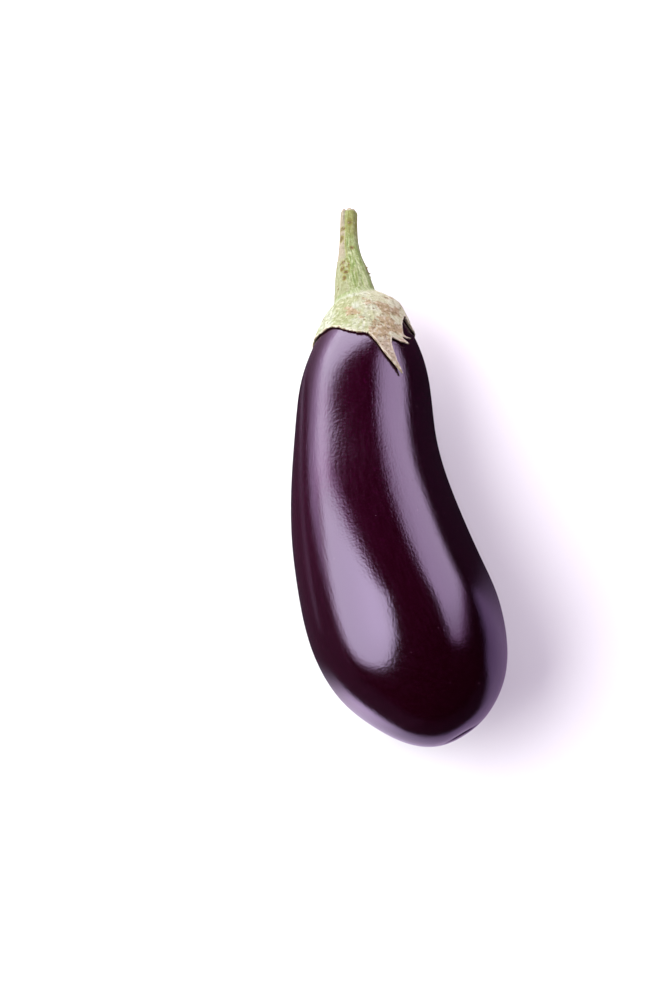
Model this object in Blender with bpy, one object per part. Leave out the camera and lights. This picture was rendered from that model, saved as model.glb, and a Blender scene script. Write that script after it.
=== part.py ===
"""An eggplant as picked, lying on its belly: the fruit, its calyx and its cut stem.

The blossom end points to -Y and the stem to +Y. The fruit bends sideways, in the plane
of the surface that it lies on, and dips towards the stem, so it rests on a small flat
spot under its belly and lightly on its calyx. Everything is in metres. The origin is
the middle of the bounding box's underside.

The fruit is a sphere drawn out along a bent centreline. A place on its skin has two
coordinates: its station, which is 0 at the blossom end and 1 at the crown under the
stem, and its turn, the angle round the centreline, 0 on the +X side and 90 on top.
"""

import math

import bmesh
import bpy
import numpy as np
from mathutils import Vector

# Fruit. The length runs along the centreline. The radius at a station is the fullness
# there times the sine of station x 180 degrees, which rounds both ends.
FRUIT_LENGTH = 0.1997
FULLNESS = (
    (0.00, 0.0582),
    (0.10, 0.0543),
    (0.20, 0.0502),
    (0.30, 0.0467),
    (0.40, 0.0398),
    (0.50, 0.0342),
    (0.62, 0.0315),
    (0.74, 0.0350),
    (0.86, 0.0360),
    (1.00, 0.0430),
)
# Sideways heading of the centreline, in degrees off +Y, by share of the length.
HEADING = (
    (0.00, -32.4),
    (0.08, -25.5),
    (0.18, -25.8),
    (0.30, -18.3),
    (0.45, -11.9),
    (0.60, -4.3),
    (0.75, 0.7),
    (0.88, -2.1),
    (1.00, -15.0),
)
DIP = math.radians(5.3)
# A shallow hollow in the shoulder: station, turn in degrees, their spreads, and depth.
HOLLOW = (0.765, 186.0, 0.055, 26.0, 0.0015)
FLAT_DEPTH = 0.0012
FRUIT_SEGMENTS = 56
FRUIT_RINGS = 44
CENTRELINE_STEPS = 400

# Calyx. Its edge is given as the distance down the skin from the crown, by turn.
GAP = 0.0003
CALYX_EDGE = (
    (-20.0, 0.0330),
    (5.0, 0.0328),
    (22.0, 0.0345),
    (36.0, 0.0372),
    (50.0, 0.0412),
    (65.0, 0.0436),
    (85.0, 0.0409),
    (103.0, 0.0384),
    (127.0, 0.0315),
    (150.0, 0.0315),
    (168.0, 0.0300),
    (190.0, 0.0310),
    (232.0, 0.0325),
    (268.0, 0.0355),
    (305.0, 0.0320),
    (340.0, 0.0330),
    (365.0, 0.0328),
    (382.0, 0.0345),
    (396.0, 0.0372),
)
# A tear in the edge: how deep it goes at these turns.
TEAR_TURNS = (24.0, 28.5, 34.0, 47.0, 51.5, 54.0)
TEAR_DEPTHS = (0.0, 0.0083, 0.0088, 0.0060, 0.0003, 0.0)
# Lobes: turn of the middle, half widths of the base before and past it, length past the
# edge, and how far the tip leans round the fruit. Turns and widths are in degrees.
LOBES = (
    (74.0, 8.5, 14.0, 0.0180, -14.5),
    (55.0, 4.5, 7.5, 0.0030, -9.0),
    (341.0, 17.0, 17.0, 0.0150, 4.0),
    (272.0, 16.0, 15.0, 0.0140, -5.0),
    (205.0, 13.0, 17.0, 0.0165, 8.0),
)
LOBE_SHARPNESS = 1.25
LEAN_POWER = 1.4
CALYX_HOLE = 0.0102
CALYX_CROWN_THICKNESS = 0.0024
CALYX_EDGE_THICKNESS = 0.0010
# A swelling of the cap: turn in degrees, distance down, their spreads, and height.
SWELLING = (22.0, 0.0190, 34.0, 0.0075, 0.0017)
CALYX_COLUMNS = 112
CALYX_SECTION_POINTS = 16

# Stem. It is measured from the crown, and its radii are by share of its length.
STEM_LENGTH = 0.0433
STEM_RADII = (
    (0.00, 0.0088),
    (0.08, 0.0084),
    (0.16, 0.0081),
    (0.25, 0.0076),
    (0.36, 0.0066),
    (0.44, 0.0056),
    (0.53, 0.0048),
    (0.64, 0.0042),
    (0.78, 0.0039),
    (1.00, 0.0037),
)
# Sideways and upward heading of the stem, in degrees off the fruit's +Y.
STEM_HEADING = ((0.0, -7.5), (0.35, -7.0), (0.7, -0.8), (1.0, 1.7))
STEM_RISE = ((0.0, 0.0), (0.5, 2.0), (1.0, 5.0))
STEM_STEPS = 14
STEM_BEVEL_RESOLUTION = 6

SKIN_PURPLE = (0.030, 0.004, 0.018)
CALYX_GREEN = (0.52, 0.55, 0.34)
STEM_GREEN = (0.36, 0.45, 0.18)


def spline(points):
    """The natural cubic spline y(x) through (x, y) points, as a function of x."""
    x, y = np.array(points, float).T
    gap = np.diff(x)
    slope = np.diff(y) / gap
    system = (
        np.diag(2 * (gap[:-1] + gap[1:]))
        + np.diag(gap[1:-1], 1)
        + np.diag(gap[1:-1], -1)
    )
    bend = np.zeros(len(x))
    bend[1:-1] = np.linalg.solve(system, 6 * np.diff(slope))

    def value(at):
        i = int(np.clip(np.searchsorted(x, at) - 1, 0, len(gap) - 1))
        before, after = at - x[i], x[i + 1] - at
        cubic = (bend[i] * after**3 + bend[i + 1] * before**3) / (6 * gap[i])
        start = (y[i] / gap[i] - bend[i] * gap[i] / 6) * after
        end = (y[i + 1] / gap[i] - bend[i + 1] * gap[i] / 6) * before
        return float(cubic + start + end)

    return value


def walk(length, steps, heading, rise, start):
    """Points along a line that leaves start and turns as heading and rise say."""
    points = [Vector(start)]
    for step in range(steps):
        share = (step + 0.5) / steps
        side = math.radians(heading(share))
        up = math.radians(rise(share))
        along = Vector(
            (
                math.sin(side) * math.cos(up),
                math.cos(side) * math.cos(up),
                math.sin(up),
            )
        )
        points.append(points[-1] + along * length / steps)
    return points


fullness = spline(FULLNESS)
heading = spline(HEADING)
centreline = walk(FRUIT_LENGTH, CENTRELINE_STEPS, heading, lambda share: 0.0, (0, 0, 0))
calyx_edge = spline(CALYX_EDGE)


def centre_at(share):
    """A point of the centreline, and the level direction square to it there."""
    place = share * CENTRELINE_STEPS
    i = min(int(place), CENTRELINE_STEPS - 1)
    point = centreline[i].lerp(centreline[i + 1], place - i)
    side = math.radians(heading(share))
    return point, Vector((math.cos(side), -math.sin(side), 0))


def hollow(station, turn):
    """How far the shoulder's hollow sinks the skin at this place."""
    middle, middle_turn, spread, turn_spread, depth = HOLLOW
    away = (math.degrees(turn) - middle_turn + 180) % 360 - 180
    return depth * math.exp(-(((station - middle) / spread) ** 2) - (away / turn_spread) ** 2)


def skin(station, turn, lift=0.0):
    """The place on the fruit's skin, or lift above it."""
    angle = math.pi * station
    centre, side = centre_at((1 - math.cos(angle)) / 2)
    around = side * math.cos(turn) + Vector((0, 0, math.sin(turn)))
    radius = fullness(station) * math.sin(angle) - hollow(station, turn)
    place = centre + around * radius
    return place + skin_normal(station, turn) * lift if lift else place


def skin_normal(station, turn):
    """The outward direction at a place on the skin."""
    step = 0.002
    low, high = max(station - step, step), min(station + step, 1 - step)
    along = skin(high, turn) - skin(low, turn)
    middle = (low + high) / 2
    around = skin(middle, turn + step) - skin(middle, turn - step)
    return along.cross(around).normalized()


def station_down_from_crown(turn, distances):
    """The stations that lie these distances down the skin from the crown, in order."""
    stations = np.linspace(1.0, 0.4, 121)
    places = [skin(float(station), turn) for station in stations]
    steps = [(b - a).length for a, b in zip(places, places[1:])]
    run = np.concatenate([[0.0], np.cumsum(steps)])
    return np.interp(distances, run, stations)


def material(name, colour, roughness):
    made = bpy.data.materials.new(name)
    made.use_nodes = True
    shader = made.node_tree.nodes["Principled BSDF"]
    shader.inputs["Base Color"].default_value = (*colour, 1)
    shader.inputs["Roughness"].default_value = roughness
    shader.inputs["Metallic"].default_value = 0.0
    return made


def keep(obj, name, finish, collection, root):
    """Names a finished piece, and puts it in the eggplant's collection under its root."""
    obj.name = name
    obj.data.name = name
    obj.data.materials.clear()
    obj.data.materials.append(finish)
    for old in list(obj.users_collection):
        old.objects.unlink(obj)
    collection.objects.link(obj)
    obj.parent = root
    return obj


def make_fruit():
    """The whole fruit, before its belly is flattened."""
    bpy.ops.mesh.primitive_uv_sphere_add(
        segments=FRUIT_SEGMENTS, ring_count=FRUIT_RINGS, radius=1
    )
    fruit = bpy.context.object
    for vertex in fruit.data.vertices:
        x, y, z = vertex.co
        station = math.acos(max(-1.0, min(1.0, -z))) / math.pi
        vertex.co = skin(station, math.atan2(y, x))
    mesh = bmesh.new()
    mesh.from_mesh(fruit.data)
    bmesh.ops.recalc_face_normals(mesh, faces=mesh.faces)
    mesh.to_mesh(fruit.data)
    mesh.free()
    fruit.data.shade_smooth()
    return fruit


def lobe_reach(turn_degrees):
    """How far lobes carry the calyx past its edge at this turn, and their lean there."""
    reach, lean = 0.0, 0.0
    for middle, before, past, length, tip_lean in LOBES:
        away = (turn_degrees - middle + 180) % 360 - 180
        share = away / past if away > 0 else -away / before
        if share < 1:
            here = length * (1 - share) ** LOBE_SHARPNESS
            if here > reach:
                reach, lean = here, tip_lean * (here / length) ** LEAN_POWER
    return reach, lean


def calyx_place(turn_degrees, around_section):
    """A place on the calyx. around_section runs 0 to 1 down the outside, 1 to 2 back up."""
    edge = calyx_edge(turn_degrees % 360)
    edge -= float(np.interp(turn_degrees % 360, TEAR_TURNS, TEAR_DEPTHS))
    reach, lean = lobe_reach(turn_degrees)
    share = around_section if around_section <= 1 else 2 - around_section
    distance = CALYX_HOLE + share * (edge + reach - CALYX_HOLE)
    past_edge = max(0.0, (distance - edge) / reach) if reach > 0 else 0.0
    turn = math.radians(turn_degrees + lean * past_edge**LEAN_POWER)
    station = float(station_down_from_crown(turn, [distance])[0])
    thickness = CALYX_CROWN_THICKNESS + share * (
        CALYX_EDGE_THICKNESS - CALYX_CROWN_THICKNESS
    )
    middle, middle_down, spread, spread_down, height = SWELLING
    away = (turn_degrees - middle + 180) % 360 - 180
    down = (distance - middle_down) / spread_down
    thickness += height * math.exp(-((away / spread) ** 2) - down**2)
    outside = around_section <= 1
    return skin(station, turn, GAP + thickness if outside else GAP)


def make_calyx():
    """The green cap as a ring whose section lies on the fruit's shoulder."""
    bpy.ops.mesh.primitive_torus_add(
        major_segments=CALYX_COLUMNS,
        minor_segments=CALYX_SECTION_POINTS,
        major_radius=2,
        minor_radius=1,
    )
    calyx = bpy.context.object
    for vertex in calyx.data.vertices:
        x, y, z = vertex.co
        turn = math.degrees(math.atan2(y, x))
        section = math.atan2(z, 2 - math.hypot(x, y)) / math.pi
        around_section = section % 2
        vertex.co = calyx_place(turn, around_section)
    mesh = bmesh.new()
    mesh.from_mesh(calyx.data)
    bmesh.ops.recalc_face_normals(mesh, faces=mesh.faces)
    mesh.to_mesh(calyx.data)
    mesh.free()
    calyx.data.shade_smooth()
    return calyx


def make_stem():
    """The cut stem as a tapering tube that stands on the crown inside the calyx."""
    crown = skin(1.0, 0.0)
    root = crown + Vector((0, GAP, 0))
    points = walk(
        STEM_LENGTH, STEM_STEPS, spline(STEM_HEADING), spline(STEM_RISE), root
    )
    curve = bpy.data.curves.new("stem", "CURVE")
    curve.dimensions = "3D"
    curve.bevel_depth = 1.0
    curve.bevel_resolution = STEM_BEVEL_RESOLUTION
    curve.use_fill_caps = True
    line = curve.splines.new("POLY")
    line.points.add(len(points) - 1)
    radius = spline(STEM_RADII)
    for i, (knot, place) in enumerate(zip(line.points, points)):
        knot.co = (*place, 1)
        knot.radius = radius(i / STEM_STEPS)
    stem = bpy.data.objects.new("stem", curve)
    bpy.context.scene.collection.objects.link(stem)
    return stem


def corners(objects):
    """Lowest and highest corner of these objects as they stand."""
    bpy.context.view_layer.update()
    graph = bpy.context.evaluated_depsgraph_get()
    places = []
    for obj in objects:
        seen = obj.evaluated_get(graph)
        mesh = seen.to_mesh()
        places += [seen.matrix_world @ vertex.co for vertex in mesh.vertices]
        seen.to_mesh_clear()
    low = Vector(min(place[i] for place in places) for i in range(3))
    high = Vector(max(place[i] for place in places) for i in range(3))
    return low, high


def flatten_belly(fruit, cutters):
    """Cuts the flat spot that the fruit lies on with a slab just under its belly."""
    low, high = corners([fruit])
    size = (high - low) * 1.2
    bpy.ops.mesh.primitive_cube_add(size=1)
    slab = bpy.context.object
    slab.name = "belly_cutter"
    slab.scale = size
    slab.location = ((low + high) / 2).to_2d().to_3d()
    slab.location.z = low.z + FLAT_DEPTH - size.z / 2
    slab.hide_render = True
    slab.display_type = "WIRE"
    for old in list(slab.users_collection):
        old.objects.unlink(slab)
    cutters.objects.link(slab)
    cut = fruit.modifiers.new("flat spot", "BOOLEAN")
    cut.operation = "DIFFERENCE"
    cut.object = slab
    return slab


def main():
    for obj in list(bpy.data.objects):
        bpy.data.objects.remove(obj)
    eggplant = bpy.data.collections.new("eggplant")
    cutters = bpy.data.collections.new("cutters")
    bpy.context.scene.collection.children.link(eggplant)
    bpy.context.scene.collection.children.link(cutters)
    root = bpy.data.objects.new("eggplant_root", None)
    root.rotation_euler = (-DIP, 0, 0)
    eggplant.objects.link(root)

    skin_finish = material("skin", SKIN_PURPLE, 0.18)
    calyx_finish = material("calyx", CALYX_GREEN, 0.75)
    stem_finish = material("stem", STEM_GREEN, 0.7)
    fruit = keep(make_fruit(), "fruit", skin_finish, eggplant, root)
    calyx = keep(make_calyx(), "calyx", calyx_finish, eggplant, root)
    stem = keep(make_stem(), "stem", stem_finish, eggplant, root)

    slab = flatten_belly(fruit, cutters)
    low, high = corners([fruit, calyx, stem])
    shift = -(low + high) / 2
    shift.z = -low.z
    root.location += shift
    slab.location += shift


main()
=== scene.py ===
"""An eggplant as picked, lying on its belly on a pale table in soft light.

The blossom end points to -Y and the cut stem to +Y. The fruit is a sphere drawn out
along a bent centreline. A place on its skin has a station, 0 at the blossom end and 1 at
the crown under the stem, and a turn, the angle round the centreline, 0 on the +X side
and 90 degrees on top. The calyx lies on the skin, so its places are given by their turn
and by their distance down the skin from the crown.
"""

import math

import bmesh
import bpy
import numpy as np
from mathutils import Matrix, Quaternion, Vector, kdtree, noise


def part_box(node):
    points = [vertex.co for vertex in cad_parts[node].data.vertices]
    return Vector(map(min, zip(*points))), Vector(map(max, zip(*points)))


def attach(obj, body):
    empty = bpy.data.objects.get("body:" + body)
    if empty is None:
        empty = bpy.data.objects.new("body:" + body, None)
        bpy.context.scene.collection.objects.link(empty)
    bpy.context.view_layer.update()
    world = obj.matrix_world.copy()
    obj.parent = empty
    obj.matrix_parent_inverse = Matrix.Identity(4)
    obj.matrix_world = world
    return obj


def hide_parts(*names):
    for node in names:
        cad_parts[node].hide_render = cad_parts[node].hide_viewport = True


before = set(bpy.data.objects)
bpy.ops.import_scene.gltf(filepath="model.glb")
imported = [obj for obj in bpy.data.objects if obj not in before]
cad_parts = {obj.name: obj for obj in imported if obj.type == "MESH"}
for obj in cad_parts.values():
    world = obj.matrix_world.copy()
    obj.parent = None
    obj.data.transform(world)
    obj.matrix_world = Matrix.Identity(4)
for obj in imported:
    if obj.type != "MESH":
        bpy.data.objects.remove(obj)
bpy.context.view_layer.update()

# Fruit, as it grew: the sizes of the solid that this skin stands for, in metres.
FRUIT_LENGTH = 0.1997
# By station, the radius over the sine of the angle pi * station.
FULLNESS = (
    (0.00, 0.0582),
    (0.10, 0.0543),
    (0.20, 0.0502),
    (0.30, 0.0467),
    (0.40, 0.0398),
    (0.50, 0.0342),
    (0.62, 0.0315),
    (0.74, 0.0350),
    (0.86, 0.0360),
    (1.00, 0.0430),
)
# By share of the length, where the centreline heads: degrees from +Y towards +X.
HEADING = (
    (0.00, -32.4),
    (0.08, -25.5),
    (0.18, -25.8),
    (0.30, -18.3),
    (0.45, -11.9),
    (0.60, -4.3),
    (0.75, 0.7),
    (0.88, -2.1),
    (1.00, -15.0),
)
DIP = math.radians(5.3)
# A shallow hollow in the shoulder: station, turn in degrees, their spreads, and depth.
HOLLOW = (0.765, 186.0, 0.055, 26.0, 0.0015)
SKIN_SEGMENTS = 300
SKIN_RINGS = 240
# Lumps: size and height.
LUMPS = ((0.045, 0.00042), (0.020, 0.00016))
LUMP_STRETCH = (1, 0.6, 1)
# How far this skin lies inside the solid's.
SKIN_INSET = 0.0002
# The blossom scar: its station just under the end, its hollow's width and depth, and the
# half length, half width and depth of its crease.
SCAR_STATION = 0.012
SCAR_HOLLOW = (0.0060, 0.0008)
SCAR_CREASE = (0.0052, 0.0012, 0.0015)
# How softly the flat spot begins.
BELLY_SOFTNESS = 0.00012

# Calyx: at each turn in degrees, how far its edge is down the skin from the crown.
CALYX_EDGE = (
    (-20.0, 0.0330),
    (5.0, 0.0328),
    (22.0, 0.0345),
    (36.0, 0.0372),
    (50.0, 0.0412),
    (65.0, 0.0436),
    (85.0, 0.0409),
    (103.0, 0.0384),
    (127.0, 0.0315),
    (150.0, 0.0315),
    (168.0, 0.0300),
    (190.0, 0.0310),
    (232.0, 0.0325),
    (268.0, 0.0355),
    (305.0, 0.0320),
    (340.0, 0.0330),
    (365.0, 0.0328),
    (382.0, 0.0345),
    (396.0, 0.0372),
)
# A tear in the edge: how deep it goes at these turns.
TEAR = ((24.0, 0.0), (28.5, 0.0083), (34.0, 0.0088), (47.0, 0.0060), (51.5, 0.0003), (54.0, 0.0))
# Lobes: turn of the middle, half widths of the base before and past it, length past the
# edge, how far the tip leans round the fruit, and how far the tip lifts off it. Turns,
# widths and leans are in degrees.
LOBES = (
    (74.0, 8.5, 14.0, 0.0180, -14.5, 0.0004),
    (56.5, 4.0, 7.5, 0.0034, -8.0, 0.0010),
    (52.0, 2.0, 2.0, 0.0013, -13.0, 0.0014),
    (341.0, 17.0, 17.0, 0.0150, 4.0, 0.0001),
    (272.0, 16.0, 15.0, 0.0140, -5.0, 0.0003),
    (205.0, 13.0, 17.0, 0.0165, 8.0, 0.0002),
)
# How far a lobe reaches at shares of its half width.
LOBE_PROFILE = ((0.0, 1.0), (0.18, 0.81), (0.42, 0.56), (0.60, 0.25), (1.0, 0.0))
LEAN_POWER = 1.4
# Steps of the edge: size on a ring of radius 1, and height.
RAGGED_STEPS = ((0.11, 0.0005), (0.035, 0.0003), (0.014, 0.00022))
CALYX_GAP = 0.0001
CALYX_HOLE = 0.0055
CALYX_CROWN_THICKNESS = 0.0023
CALYX_EDGE_THICKNESS = 0.0008
CALYX_THIN_FROM = 0.03
RIM_SHARE = 0.12
COLLAR_END = 0.0128
COLLAR_TOP = 0.0086
COLLAR_HEIGHT = 0.0013
COLLAR_STEEPNESS = 2.2
COLLAR_OVERRUN = 1.35
RIM_LIFT = 0.00005
RIM_LIFT_SPREAD = 0.004
# A swelling of the cap: turn in degrees, distance down, their spreads, and height.
SWELLING = (22.0, 0.0190, 34.0, 0.0075, 0.0017)
CALYX_COLUMNS = 900
CALYX_SECTION_POINTS = 96
CROWDING_TO_RIM = 1.8
# Bumps: size and height.
CALYX_BUMPS = ((0.0060, 0.00035), (0.0026, 0.00018), (0.0010, 0.00006))
CALYX_RIBS = (0.07, 0.00016)
CALYX_RIB_RUN = 12
STRAIGHT_RADIUS = 0.03
# Corky blemishes: turn in degrees, distance down from the crown, radius, and strength.
CALYX_BLEMISHES = (
    (104.0, 0.0262, 0.0034, 0.75),
    (114.0, 0.0231, 0.0020, 0.5),
    (86.0, 0.0185, 0.0012, 0.9),
    (82.0, 0.0215, 0.0014, 0.8),
    (38.0, 0.0183, 0.0010, 1.0),
    (49.0, 0.0179, 0.0011, 0.8),
    (62.0, 0.0250, 0.0034, 0.85),
    (50.0, 0.0268, 0.0030, 0.8),
    (67.0, 0.0340, 0.0036, 0.8),
    (64.0, 0.0384, 0.0030, 0.7),
    (79.0, 0.0363, 0.0030, 0.6),
    (95.0, 0.0310, 0.0016, 0.5),
    (54.0, 0.0380, 0.0034, 0.75),
    (82.0, 0.0405, 0.0036, 0.8),
    (74.0, 0.0415, 0.0034, 0.7),
    (161.0, 0.0208, 0.0013, 0.8),
    (24.0, 0.0209, 0.0015, 0.6),
    (215.0, 0.0240, 0.0030, 0.7),
    (255.0, 0.0200, 0.0020, 0.8),
    (300.0, 0.0270, 0.0034, 0.7),
    (335.0, 0.0200, 0.0024, 0.8),
)

# Stem, measured from the crown. Radii are by share of its length.
STEM_LENGTH = 0.0433
STEM_RADII = (
    (0.00, 0.0088),
    (0.08, 0.0084),
    (0.16, 0.0081),
    (0.25, 0.0076),
    (0.36, 0.0066),
    (0.44, 0.0056),
    (0.53, 0.0048),
    (0.64, 0.0042),
    (0.78, 0.0039),
    (1.00, 0.0037),
)
# By share of its length, how far it heads to +X and rises, in degrees.
STEM_HEADING = ((0.0, -7.5), (0.35, -7.0), (0.7, -0.8), (1.0, 1.7))
STEM_RISE = ((0.0, 0.0), (0.5, 2.0), (1.0, 5.0))
STEM_AROUND = 160
STEM_ALONG = 220
STEM_RIBS = 5
STEM_RIB_TURN = 118.0
STEM_TWIST = 0.25
STEM_SQUARENESS = 0.45
# Size, and height as a share of the radius.
STEM_FIBRES = (0.0009, 0.012)
STEM_KNOBS = (0.004, 0.03)
# The foot spreads over the collar.
SKIRT = 0.0003
SKIRT_START = 0.0040
SKIRT_FADE = 0.0016
# Prickles: share of the stem's length, turn in degrees, and height.
PRICKLES = (
    (0.33, 10.0, 0.0009),
    (0.27, 2.0, 0.0011),
    (0.21, 14.0, 0.0008),
    (0.17, 172.0, 0.0008),
    (0.44, 186.0, 0.0005),
    (0.56, 235.0, 0.0008),
    (0.24, 300.0, 0.0009),
)
PRICKLE_RADIUS = 0.00050
# Brown and olive marks on the stem: share of its length, turn in degrees, half widths
# along and around it, and strength.
STEM_MARKS = (
    (0.83, 84.0, 0.0022, 0.0016, 0.75),
    (0.76, 140.0, 0.0010, 0.0024, 1.0),
    (0.655, 146.0, 0.0018, 0.0018, 1.0),
    (0.80, 30.0, 0.0022, 0.0010, 0.6),
    (0.53, 78.0, 0.0011, 0.0013, 0.9),
    (0.36, 122.0, 0.0014, 0.0013, 0.9),
    (0.285, 126.0, 0.0015, 0.0014, 1.0),
    (0.235, 114.0, 0.0011, 0.0015, 0.9),
    (0.17, 121.0, 0.0014, 0.0011, 1.0),
    (0.32, 101.0, 0.0030, 0.0006, 0.7),
    (0.28, 18.0, 0.0022, 0.0022, 1.0),
    (0.60, 205.0, 0.0014, 0.0014, 0.8),
    (0.40, 240.0, 0.0020, 0.0012, 0.8),
    (0.70, 290.0, 0.0016, 0.0014, 0.8),
    (0.30, 320.0, 0.0014, 0.0016, 0.8),
)
MARK_DEPTH = 0.00012
# The groove that parts a thin strip from the stalk, and where it starts and ends.
GROOVE_TURN = 121.0
GROOVE_WIDTH = 9.0
GROOVE_DEPTH = 0.00045
GROOVE_SPAN = (0.55, 0.85)
NOTCH_DEPTH = 0.0011
# The cut end: the share of the length that rounds over and how much it narrows, where it
# starts to be torn, the heights of the tears, and how far the face is sunk.
CUT_ROUNDING = 0.045
CUT_NARROWING = 0.20
CUT_START = 0.93
CUT_TEARS = (0.0007, 0.00025)
CUT_SUNK = 0.0006
LIP_HEIGHT = 0.0004
PITH_SUNK = 0.0002

# Where the camera looks, how steeply, and from how far.
AIM = Vector((-0.0300, -0.0158, 0.0331))
CAMERA_ELEVATION = math.radians(72.3)
CAMERA_DISTANCE = 0.911
CAMERA_LENS = 80.0

# Colours, as red, green and blue in linear light.
BLACK = (0.0, 0.0, 0.0)
WHITE = (1.0, 1.0, 1.0)
SKIN_DARK = (0.0085, 0.0001, 0.0023)
SKIN_LIGHT = (0.0125, 0.0002, 0.0040)
SKIN_BULB = (0.0068, 0.0000, 0.0009)
SKIN_STREAK = (0.018, 0.0006, 0.007)
# Painted shade for the skin's +X flank.
SKIN_PAINTED_SHADE = (0.0045, 0.0000, 0.0012)
SKIN_PORE = (0.30, 0.16, 0.22)
SKIN_SCAR = (0.14, 0.075, 0.045)
SKIN_GRAIN = (0.036, 0.0008, 0.018)
WAX_TINT = (0.80, 0.64, 0.98, 1.0)
CALYX_GREEN = (0.240, 0.262, 0.135)
CALYX_CREAM = (0.335, 0.358, 0.280)
CALYX_STRAND = (0.170, 0.212, 0.075)
CALYX_VEIN = (0.175, 0.200, 0.055)
# Painted light: the paler colour of the calyx's +X side, where less light falls.
CALYX_PAINTED_LIGHT = (0.420, 0.410, 0.285)
CALYX_CORK = (0.252, 0.182, 0.100)
CALYX_STIPPLE = (0.090, 0.046, 0.022)
CALYX_SPOT = (0.105, 0.055, 0.016)
CALYX_SCAR = (0.115, 0.062, 0.026)
CALYX_FINE_DARK = (0.125, 0.112, 0.040)
CALYX_FINE_PALE = (0.500, 0.490, 0.400)
CALYX_INSIDE = (0.210, 0.190, 0.115)
LOBE_TAN = (0.270, 0.200, 0.150)
COLLAR_PALE = (0.270, 0.308, 0.165)
COLLAR_GREEN = (0.125, 0.178, 0.045)
# A painted highlight along the calyx's rim.
RIM_PAINTED_HIGHLIGHT = (0.520, 0.480, 0.380)
RIM_BROWN = (0.130, 0.075, 0.035)
STEM_DARK = (0.185, 0.240, 0.072)
STEM_PALE = (0.300, 0.345, 0.175)
STRAND_DARK = (0.105, 0.165, 0.030)
STRAND_PALE = (0.380, 0.415, 0.260)
STEM_OLIVE = (0.190, 0.200, 0.050)
# Painted shade for the stem's -X side.
STEM_PAINTED_SHADE = (0.185, 0.205, 0.105)
STEM_STRIP = (0.262, 0.222, 0.160)
STEM_SEAM = (0.170, 0.175, 0.030)
MARK_RING = (0.165, 0.165, 0.026)
MARK_BROWN = (0.100, 0.055, 0.014)
STEM_DOT = (0.110, 0.058, 0.020)
STEM_FINE_DARK = (0.120, 0.118, 0.036)
STEM_FINE_PALE = (0.400, 0.410, 0.280)
CUT_DRY = (0.400, 0.370, 0.290)
CUT_LIP = (0.180, 0.105, 0.050)
CUT_FACE = (0.380, 0.320, 0.240)
CUT_PITH = (0.167, 0.116, 0.070)

# The table, and the painted reflection that the fruit's gloss shows of it: the middle of the bright
# disc, the place beside the neck that its painted glow grows away from, and how far to -X its thin
# line runs.
TABLE_HALF_WIDTH = 3.0
TABLE_PALE = (0.80, 0.80, 0.805)
TABLE_PALEST = (0.82, 0.82, 0.82)
DISC_MIDDLE = (0.010, -0.085, 0.0)
NECK_SIDE = (-0.050, 0.030, 0.0)
LINE_OUT = 0.131
# Colours of the painted reflection and the painted glow that only the gloss shows.
GLOSS_LEFT = (0.90, 0.80, 1.0)
GLOSS_RIGHT = (0.44, 0.32, 0.50)
GLOSS_DARK = (0.02, 0.012, 0.02)
PAINTED_GLOSS_GLOW = (0.96, 0.74, 1.0)

# The light of the sky, the same as the gloss shows it, and the panels' towards their edges.
SKY_LIGHT = (0.272, 0.233, 0.335)
SKY_IN_GLOSS = (0.006, 0.0008, 0.004)
PANEL_EDGE = (1.0, 0.48, 0.84)


# ---------------------------------------------------------------- the shape of the fruit


def spline(points):
    """The natural cubic spline y(x) through (x, y) points, for a number or an array."""
    x, y = np.array(points, float).T
    gap = np.diff(x)
    slope = np.diff(y) / gap
    system = np.diag(2 * (gap[:-1] + gap[1:])) + np.diag(gap[1:-1], 1) + np.diag(gap[1:-1], -1)
    bend = np.zeros(len(x))
    bend[1:-1] = np.linalg.solve(system, 6 * np.diff(slope))

    def value(at):
        at = np.asarray(at, float)
        i = np.clip(np.searchsorted(x, at) - 1, 0, len(gap) - 1)
        before, after = at - x[i], x[i + 1] - at
        cubic = (bend[i] * after**3 + bend[i + 1] * before**3) / (6 * gap[i])
        start = (y[i] / gap[i] - bend[i] * gap[i] / 6) * after
        end = (y[i + 1] / gap[i] - bend[i + 1] * gap[i] / 6) * before
        return cubic + start + end

    return value


def walk(length, heading, rise, start, steps=2000):
    """Shares of a line's length and its points, where it turns as heading and rise say."""
    middles = (np.arange(steps) + 0.5) / steps
    side, up = np.radians(heading(middles)), np.radians(rise(middles))
    along = np.stack([np.sin(side) * np.cos(up), np.cos(side) * np.cos(up), np.sin(up)], 1)
    points = np.vstack([np.zeros(3), np.cumsum(along * length / steps, axis=0)])
    return np.linspace(0, 1, steps + 1), points + start


def read_line(line, share):
    """The points of a walked line at these shares."""
    shares, points = line
    return np.stack([np.interp(share, shares, points[:, axis]) for axis in range(3)], -1)


def level(share):
    return np.zeros_like(share)


fullness = spline(FULLNESS)
heading = spline(HEADING)
centreline = walk(FRUIT_LENGTH, heading, level, np.zeros(3))
calyx_edge = spline(CALYX_EDGE)


def degrees_from(turn_degrees, middle):
    """How far turns are past this one, in degrees from -180 to 180."""
    return (turn_degrees - middle + 180) % 360 - 180


def bare_skin(station, turn):
    """Places on the fruit's skin in its own frame, before it is laid down."""
    angle = np.pi * station
    share = (1 - np.cos(angle)) / 2
    side = np.radians(heading(share))
    middle, middle_turn, spread, turn_spread, depth = HOLLOW
    away = degrees_from(np.degrees(turn), middle_turn)
    hollow = depth * np.exp(-(((station - middle) / spread) ** 2) - (away / turn_spread) ** 2)
    radius = (fullness(station) * np.sin(angle) - hollow)[..., None]
    across = np.stack([np.cos(side), -np.sin(side), np.zeros_like(side)], -1)
    upward = np.array([0.0, 0.0, 1.0])
    around = across * np.cos(turn)[..., None] + upward * np.sin(turn)[..., None]
    return read_line(centreline, share) + around * radius


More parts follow.
